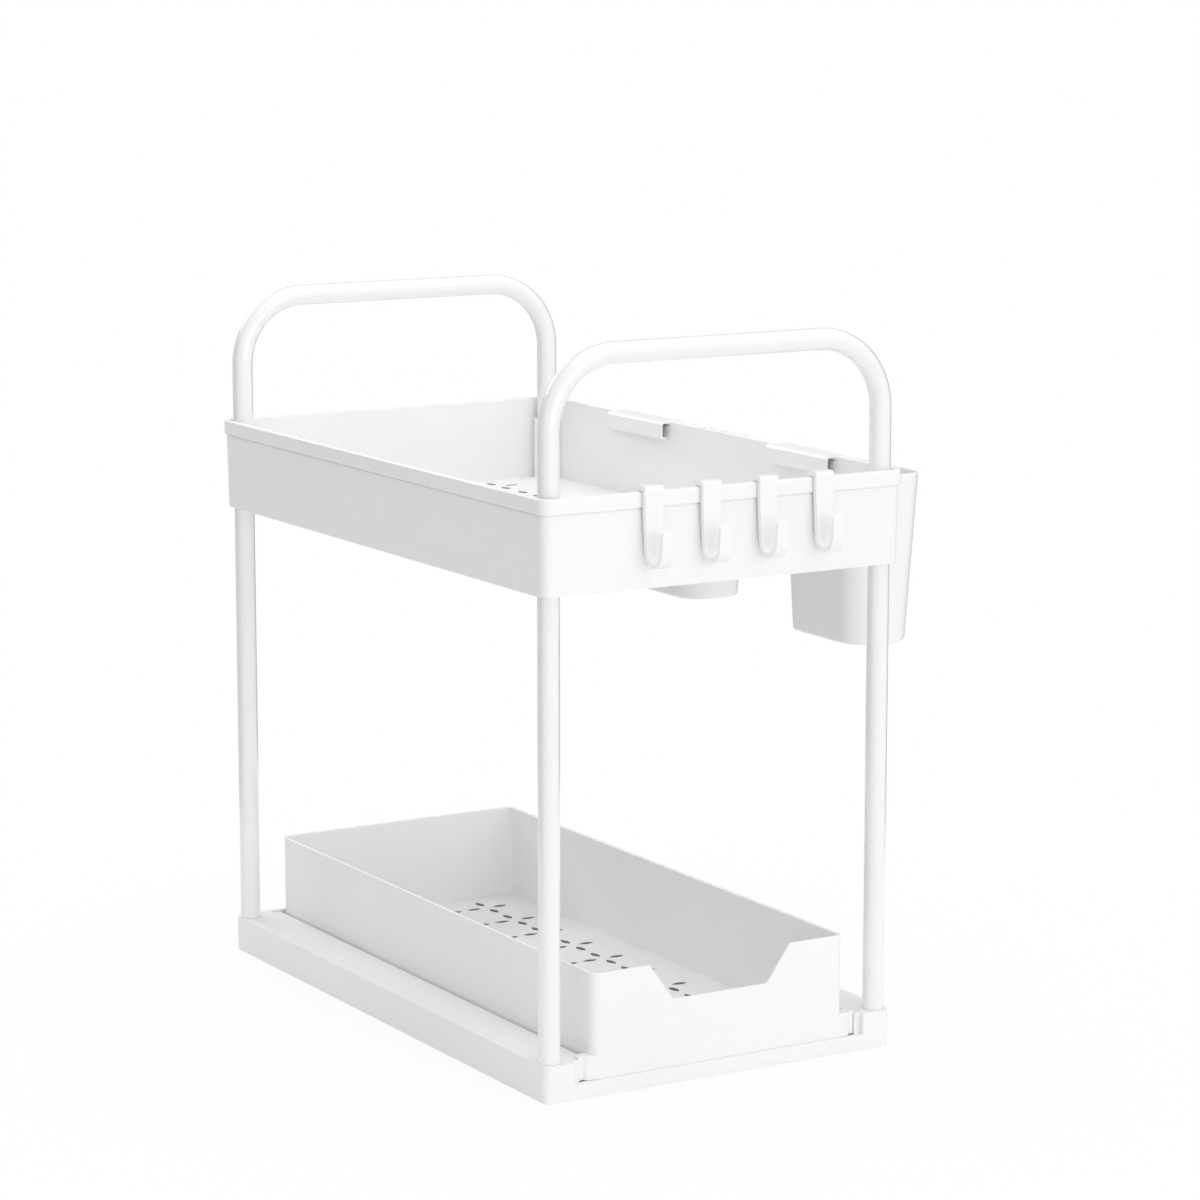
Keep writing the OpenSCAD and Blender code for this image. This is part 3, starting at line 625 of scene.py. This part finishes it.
def cup(name, y, paint):
    """A tapered cup with a hanger that lies in a notch of the rim and bends down in a flap behind the wall."""
    bm = bmesh.new()
    top, wall = RIM_Z - 12.5, 1.8
    low = top - 97.8
    rings = []
    for inset in (0, wall):
        rings.append((outline(bm, 42.2 - 2 * inset, 75.6 - 2 * inset, 17 - inset, low + inset, (144.7, y), 12),
                      outline(bm, 51 - 2 * inset, 81 - 2 * inset, 14.6 - inset, top, (145.5, y), 12)))
    (outer_low, outer_top), (inner_low, inner_top) = rings
    skin(bm, outer_low, outer_top, inner_top, inner_low)
    bmesh.ops.contextual_create(bm, geom=outer_low)
    bmesh.ops.contextual_create(bm, geom=inner_low)
    bmesh.ops.recalc_face_normals(bm, faces=bm.faces)
    soften(bm, 2.0, lambda edge: level_with(edge, low), steps=5)
    soften(bm, 2.0, lambda edge: level_with(edge, low + wall), steps=5)
    soften(bm, 0.6, lambda edge: level_with(edge, top), steps=3)

    # The hanger grows up out of the cup's back wall and gets its full thickness above it
    root_x, root_z, leg_in_x, leg_out_x, leg_z = 120.95, 312, 120.0, 122.4, 317.2
    hanger_wide, plate_z, over_wall_x, flap_in_z = 62.6, 326.5, 112.6, 327.5
    known = set(bm.verts)
    root = rectangle(bm, 1.3, hanger_wide, (root_x, y, root_z))
    leg = grow(bm, root[0].link_faces, (0, 0, 3.9), first=True)
    leg = grow(bm, leg, (0, 0, 1.3))
    for vert in leg[0].verts:
        vert.co.x = leg_in_x if vert.co.x < root_x else leg_out_x
    leg = grow(bm, leg, (0, 0, plate_z - leg_z))
    end = turn(bm, leg[0], (leg_in_x, y, plate_z), Y_AXIS, -math.pi / 2, 8)
    if max(vert.co.z for vert in end.verts) < plate_z + 1.5:
        raise ValueError("the hanger bends the wrong way")
    end = grow(bm, [end], (over_wall_x - leg_in_x, 0, 0))
    end = grow(bm, end, (-0.5, 0, 0))
    for vert in end[0].verts:
        if vert.co.z < plate_z + 0.5:
            vert.co.z = flap_in_z

    # The flap is thinner, with a flat side between two bends
    bend_x, bend_low_z = 109.0, 320.3
    end = grow(bm, end, (bend_x - (over_wall_x - 0.5), 0, 0))
    end = turn(bm, end[0], (bend_x, y, plate_z), Y_AXIS, -math.pi / 2, 8)
    end = grow(bm, [end], (0, 0, bend_low_z - plate_z))
    end = turn(bm, end[0], (bend_x, y, bend_low_z), Y_AXIS, -math.pi / 2, 8)
    grow(bm, [end], (2.2, 0, 0))
    bmesh.ops.remove_doubles(bm, verts=new_parts(bm.verts, known), dist=WELD)
    bmesh.ops.recalc_face_normals(bm, faces=faces_of(new_parts(bm.verts, known)))
    soften(bm, 0.35, lambda edge: known.isdisjoint(edge.verts) and middle_of(edge).z > leg_z + 0.1,
           steps=2, sharper_than=50)
    return finish_piece(bm, name, name + "_body", "plastic", paint)


# Foot pads

def foot_pad(name, x, y, paint):
    bm = bmesh.new()
    lathe(bm, [(0, 0.12), (3.6, 0.12), (3.9, 0), (5.0, 0), (5.35, 0.12), (5.5, 0.5), (5.5, 1.8), (5.3, 2),
               (0, 2)], (x * POST_X, y * POST_Y))
    return finish_piece(bm, name, "frame", "pad", paint)


# Camera at the photograph's viewing angle

def place_camera():
    right = (0.857633, -0.514262, 0.000611)
    up = (0.088232, 0.148315, 0.984996)
    back = (-0.506636, -0.844712, 0.172574)
    place = (-1.142356, -1.963683, 0.635060)
    lens = bpy.data.cameras.new("photo_camera")
    lens.sensor_width = 36.0
    lens.lens = 119.008
    lens.clip_start, lens.clip_end = 0.05, 200.0
    camera = bpy.data.objects.new("photo_camera", lens)
    bpy.context.scene.collection.objects.link(camera)
    rows = [[right[i], up[i], back[i], place[i]] for i in range(3)]
    camera.matrix_world = Matrix(rows + [[0, 0, 0, 1]])
    bpy.context.scene.camera = camera


# Values worked out by shader nodes

def calculate(tree, operation, a, b, clamp=False):
    node = tree.nodes.new("ShaderNodeMath")
    node.operation = operation
    node.use_clamp = clamp
    for socket, value in zip(node.inputs, (a, b)):
        if isinstance(value, (int, float)):
            socket.default_value = value
        else:
            tree.links.new(value, socket)
    return node.outputs[0]


def ramp(tree, value, low, high, at_low, at_high):
    """Turns a value into another, evenly and softly between two ends."""
    node = tree.nodes.new("ShaderNodeMapRange")
    node.interpolation_type = "SMOOTHSTEP"
    for label, number in zip(("From Min", "From Max", "To Min", "To Max"), (low, high, at_low, at_high)):
        node.inputs[label].default_value = number
    tree.links.new(value, node.inputs["Value"])
    return node.outputs["Result"]


def noise(tree, where, scale, detail, roughness):
    node = tree.nodes.new("ShaderNodeTexNoise")
    node.inputs["Detail"].default_value = detail
    node.inputs["Roughness"].default_value = roughness
    tree.links.new(where, node.inputs["Vector"])
    if isinstance(scale, (int, float)):
        node.inputs["Scale"].default_value = scale
    else:
        tree.links.new(scale, node.inputs["Scale"])
    return node.outputs["Fac"]


# Studio: a white floor, a white room with two dark strips, and soft lamps

def soft_lamp(name, place, aim, width, height, power):
    lamp = bpy.data.lights.new(name, "AREA")
    lamp.shape = "RECTANGLE"
    lamp.size, lamp.size_y = width, height
    lamp.energy = power
    holder = bpy.data.objects.new(name, lamp)
    holder.visible_camera = False
    bpy.context.scene.collection.objects.link(holder)
    holder.location = place
    holder.rotation_mode = "QUATERNION"
    holder.rotation_quaternion = (Vector(aim) - Vector(place)).to_track_quat("-Z", "Y")


def dark_strips(tree, direction):
    """Gives one in the dark strips, which stand low down to the left and right, mostly behind the object."""
    parts = tree.nodes.new("ShaderNodeSeparateXYZ")
    tree.links.new(direction, parts.inputs["Vector"])
    behind = ramp(tree, parts.outputs["Y"], -0.4, 0.4, 0.0, 1.0)
    aside = ramp(tree, calculate(tree, "ABSOLUTE", parts.outputs["X"], 0.0), 0.5, 0.75, 0.15, 1.0)
    low = ramp(tree, calculate(tree, "ABSOLUTE", parts.outputs["Z"], 0.0), 0.15, 0.5, 1.0, 0.0)
    return calculate(tree, "MULTIPLY", calculate(tree, "MULTIPLY", behind, aside), low)


def light_the_room(room_level, slope, towards, dark_level):
    """A white room, a little brighter on one side and with dark strips; the camera sees it white."""
    world = bpy.data.worlds.new("white_room")
    bpy.context.scene.world = world
    world.use_nodes = True
    tree = world.node_tree
    nodes, links = tree.nodes, tree.links
    nodes.clear()
    path = nodes.new("ShaderNodeLightPath")
    room = nodes.new("ShaderNodeBackground")
    room.inputs["Color"].default_value = (1, 1, 1, 1)
    direction = nodes.new("ShaderNodeTexCoord").outputs["Generated"]
    side = nodes.new("ShaderNodeVectorMath")
    side.operation = "DOT_PRODUCT"
    side.inputs[1].default_value = Vector(towards).normalized()
    links.new(direction, side.inputs[0])
    level = calculate(tree, "ADD", room_level, calculate(tree, "MULTIPLY", side.outputs["Value"], slope))
    dark = dark_strips(tree, direction)
    level = calculate(tree, "ADD", calculate(tree, "MULTIPLY", level, calculate(tree, "SUBTRACT", 1.0, dark)),
                      calculate(tree, "MULTIPLY", dark, dark_level))
    links.new(level, room.inputs["Strength"])
    seen = nodes.new("ShaderNodeBackground")
    seen.inputs["Color"].default_value = (1, 1, 1, 1)
    mix = nodes.new("ShaderNodeMixShader")
    out = nodes.new("ShaderNodeOutputWorld")
    links.new(path.outputs["Is Camera Ray"], mix.inputs["Fac"])
    links.new(room.outputs["Background"], mix.inputs[1])
    links.new(seen.outputs["Background"], mix.inputs[2])
    links.new(mix.outputs["Shader"], out.inputs["Surface"])


def lay_floor(radius, shadow_from, shadow_to, kept_shadow):
    """A wide white floor that keeps a share of the object's shadow, less and less away from it."""
    sweep = bmesh.new()
    bmesh.ops.create_circle(sweep, cap_ends=True, segments=96, radius=radius)
    mesh = bpy.data.meshes.new("floor")
    sweep.to_mesh(mesh)
    sweep.free()
    floor = bpy.data.objects.new("floor", mesh)
    bpy.context.scene.collection.objects.link(floor)
    paint = bpy.data.materials.new("floor_white")
    paint.use_nodes = True
    tree = paint.node_tree
    nodes, links = tree.nodes, tree.links
    nodes.clear()
    path = nodes.new("ShaderNodeLightPath")
    matte = nodes.new("ShaderNodeBsdfDiffuse")
    matte.inputs["Color"].default_value = (0.9, 0.9, 0.9, 1)
    glow = nodes.new("ShaderNodeEmission")
    glow.inputs["Strength"].default_value = 1.0
    reach = nodes.new("ShaderNodeVectorMath")
    reach.operation = "LENGTH"
    links.new(nodes.new("ShaderNodeTexCoord").outputs["Object"], reach.inputs[0])
    white = ramp(tree, reach.outputs["Value"], shadow_from, shadow_to, 1.0 - kept_shadow, 1.0)
    mix = nodes.new("ShaderNodeMixShader")
    out = nodes.new("ShaderNodeOutputMaterial")
    links.new(calculate(tree, "MULTIPLY", path.outputs["Is Camera Ray"], white), mix.inputs["Fac"])
    links.new(matte.outputs["BSDF"], mix.inputs[1])
    links.new(glow.outputs["Emission"], mix.inputs[2])
    links.new(mix.outputs["Shader"], out.inputs["Surface"])
    mesh.materials.append(paint)


# Finishes

def group_of(name, puts_in, puts_out):
    tree = bpy.data.node_groups.new(name, "ShaderNodeTree")
    for label, value in puts_in:
        socket = tree.interface.new_socket(name=label, in_out="INPUT", socket_type="NodeSocketFloat")
        socket.default_value = value
    for label in puts_out:
        tree.interface.new_socket(name=label, in_out="OUTPUT", socket_type="NodeSocketFloat")
    return tree, tree.nodes.new("NodeGroupInput"), tree.nodes.new("NodeGroupOutput")


def grain_group():
    """Fine grain with a slow ripple under it; gives a height, a tone round one and a polish from 0 to 1."""
    tree, entry, end = group_of("surface_grain",
                                [("Grain Scale", 1500.0), ("Ripple", 0.2), ("Tone Spread", 0.02)],
                                ["Height", "Tone", "Polish"])
    place = tree.nodes.new("ShaderNodeTexCoord").outputs["Object"]
    fine = noise(tree, place, entry.outputs["Grain Scale"], detail=3.0, roughness=0.6)
    slow = noise(tree, place, 22.0, detail=2.0, roughness=0.5)
    broad = noise(tree, place, 6.0, detail=3.0, roughness=0.55)
    height = calculate(tree, "ADD", fine, calculate(tree, "MULTIPLY", slow, entry.outputs["Ripple"]))
    tree.links.new(height, end.inputs["Height"])
    wander = calculate(tree, "ADD", calculate(tree, "SUBTRACT", broad, 0.5),
                       calculate(tree, "SUBTRACT", fine, 0.5))
    tone = calculate(tree, "ADD", 1.0, calculate(tree, "MULTIPLY", wander, entry.outputs["Tone Spread"]))
    tree.links.new(tone, end.inputs["Tone"])
    polish = calculate(tree, "MULTIPLY", calculate(tree, "ADD", slow, fine), 0.5)
    tree.links.new(polish, end.inputs["Polish"])
    return tree


def wear_and_highlight_group():
    """Where hands and shelves polish the rounded edges, and where the finish paints them lighter as a
    highlight: the marked faces, broken up by noise.
    """
    tree, entry, end = group_of("worn_and_highlit_edges", [("Amount", 0.6), ("Patch Scale", 60.0)], ["Wear"])
    mark = tree.nodes.new("ShaderNodeAttribute")
    mark.attribute_name = "softened"
    place = tree.nodes.new("ShaderNodeTexCoord").outputs["Object"]
    patches = noise(tree, place, entry.outputs["Patch Scale"], detail=4.0, roughness=0.6)
    broken = calculate(tree, "ADD", 0.25, patches, clamp=True)
    wear_and_highlight = calculate(tree, "MULTIPLY", calculate(tree, "MULTIPLY", mark.outputs["Fac"], broken),
                     entry.outputs["Amount"], clamp=True)
    tree.links.new(wear_and_highlight, end.inputs["Wear"])
    return tree


def color_mix(tree, blend_type="MIX"):
    node = tree.nodes.new("ShaderNodeMix")
    node.data_type = "RGBA"
    node.blend_type = blend_type
    return node


def finish_material(name, color, wear_and_highlight_color, roughness, spread_of, grain_scale, ripple, tone, depth, wear_and_highlight,
                    coat=0.0, coat_roughness=0.12, edge_polish=0.34, hole_shade_tone=1.0):
    """A surface with grain and worn edges; the marked rounded edges take a lighter colour that is partly a
    painted highlight, and the marked drain hole walls take a darker one that is painted shade; spread_of is
    how far the polish moves its roughness.
    """
    paint = bpy.data.materials.new(name)
    paint.use_nodes = True
    tree = paint.node_tree
    surface = tree.nodes["Principled BSDF"]
    surface.inputs["Coat Weight"].default_value = coat
    surface.inputs["Coat Roughness"].default_value = coat_roughness
    look = tree.nodes.new("ShaderNodeGroup")
    look.node_tree = GRAIN
    look.inputs["Grain Scale"].default_value = grain_scale
    look.inputs["Ripple"].default_value = ripple
    look.inputs["Tone Spread"].default_value = tone
    edges = tree.nodes.new("ShaderNodeGroup")
    edges.node_tree = WEAR_AND_HIGHLIGHT
    edges.inputs["Amount"].default_value = wear_and_highlight
    # Painted highlight: the marked rounded edges take the lighter second colour, partly for real rubbing and
    # partly to stand in for the light that catches them
    blend = color_mix(tree)
    blend.inputs["A"].default_value = (*color, 1)
    blend.inputs["B"].default_value = (*wear_and_highlight_color, 1)
    tree.links.new(edges.outputs["Wear"], blend.inputs["Factor"])
    tint = color_mix(tree, "MULTIPLY")
    tint.inputs["Factor"].default_value = 1.0
    tree.links.new(blend.outputs["Result"], tint.inputs["A"])
    tree.links.new(look.outputs["Tone"], tint.inputs["B"])
    # Painted shade: the marked drain hole walls get a darker colour that stands in for the shade inside the
    # holes
    if hole_shade_tone < 1:
        mark = tree.nodes.new("ShaderNodeAttribute")
        mark.attribute_name = "painted_hole_shade"
        hole_shade_tint = color_mix(tree, "MULTIPLY")
        hole_shade_tint.inputs["B"].default_value = (hole_shade_tone, hole_shade_tone, hole_shade_tone, 1)
        tree.links.new(mark.outputs["Fac"], hole_shade_tint.inputs["Factor"])
        tree.links.new(tint.outputs["Result"], hole_shade_tint.inputs["A"])
        tint = hole_shade_tint
    tree.links.new(tint.outputs["Result"], surface.inputs["Base Color"])
    rough = calculate(tree, "ADD", roughness, calculate(tree, "MULTIPLY", look.outputs["Polish"], spread_of))
    rough = calculate(tree, "SUBTRACT", rough, calculate(tree, "MULTIPLY", edges.outputs["Wear"], edge_polish))
    tree.links.new(rough, surface.inputs["Roughness"])
    bump = tree.nodes.new("ShaderNodeBump")
    bump.inputs["Strength"].default_value = 1.0
    bump.inputs["Distance"].default_value = depth
    tree.links.new(look.outputs["Height"], bump.inputs["Height"])
    tree.links.new(bump.outputs["Normal"], surface.inputs["Normal"])
    return paint


bpy.context.scene.view_settings.view_transform = "Standard"
place_camera()
light_the_room(room_level=0.765, slope=0.16, towards=(0, -1, 0), dark_level=0.04)
lay_floor(radius=0.6, shadow_from=0.2, shadow_to=0.5, kept_shadow=0.12)
soft_lamp("overhead_softbox", place=(0.2, -0.1, 1.9), aim=(0, 0, 0.2), width=1.4, height=1.4, power=10.5)
soft_lamp("front_softbox", place=(0.1, -2.6, 0.6), aim=(0, 0, 0.08), width=1.8, height=1.0, power=10)
soft_lamp("rear_softbox", place=(-0.35, 1.8, 1.15), aim=(0, 0, 0.2), width=1.2, height=0.45, power=9)

GRAIN, WEAR_AND_HIGHLIGHT = grain_group(), wear_and_highlight_group()
# On the plastics the lighter second colour is partly a painted highlight on the rounded edges, and the dark
# drain hole colour is painted shade
plastic = finish_material(
    "matte_white_plastic", (0.9, 0.9, 0.895), (0.93, 0.93, 0.925), roughness=0.42, spread_of=0.16,
    grain_scale=800, ripple=0.25, tone=0.09, depth=0.00006, wear_and_highlight=1.0, hole_shade_tone=0.35)
smooth_plastic = finish_material(
    "satin_white_plastic", (0.905, 0.905, 0.9), (0.93, 0.93, 0.925), roughness=0.24, spread_of=0.1,
    grain_scale=1200, ripple=0.2, tone=0.03, depth=0.00003, wear_and_highlight=1.0, edge_polish=0.2)
powder = finish_material(
    "white_powder_coat", (0.89, 0.89, 0.89), (0.89, 0.89, 0.89), roughness=0.16, spread_of=0.1,
    grain_scale=700, ripple=0.1, tone=0.015, depth=0.00003, wear_and_highlight=0.3, coat=1.0, coat_roughness=0.06,
    edge_polish=0.0)
rubber = finish_material(
    "pale_rubber", (0.8, 0.8, 0.79), (0.76, 0.76, 0.75), roughness=0.6, spread_of=0.2,
    grain_scale=900, ripple=0.2, tone=0.05, depth=0.0001, wear_and_highlight=0.5)

base_tray(plastic)
drawer(plastic)
upper_tray(plastic)
for corner_name, x, y in (("front_left", -1, -1), ("front_right", 1, -1), ("rear_left", -1, 1),
                          ("rear_right", 1, 1)):
    post("post_" + corner_name, x, y, powder)
    foot_pad("foot_pad_" + corner_name, x, y, rubber)
handle("handle_front", -1, powder)
handle("handle_rear", 1, powder)
HOOK_COUNT, HOOK_PITCH, HOOK_SHIFT = 4, 36.3, 5.2
for number, x in enumerate(spread(HOOK_COUNT, HOOK_PITCH, HOOK_SHIFT)):
    hook(f"hook_{number + 1}", x, smooth_plastic)
cup("cup_front", CUP_FRONT_Y, smooth_plastic)
cup("cup_rear", CUP_REAR_Y, smooth_plastic)
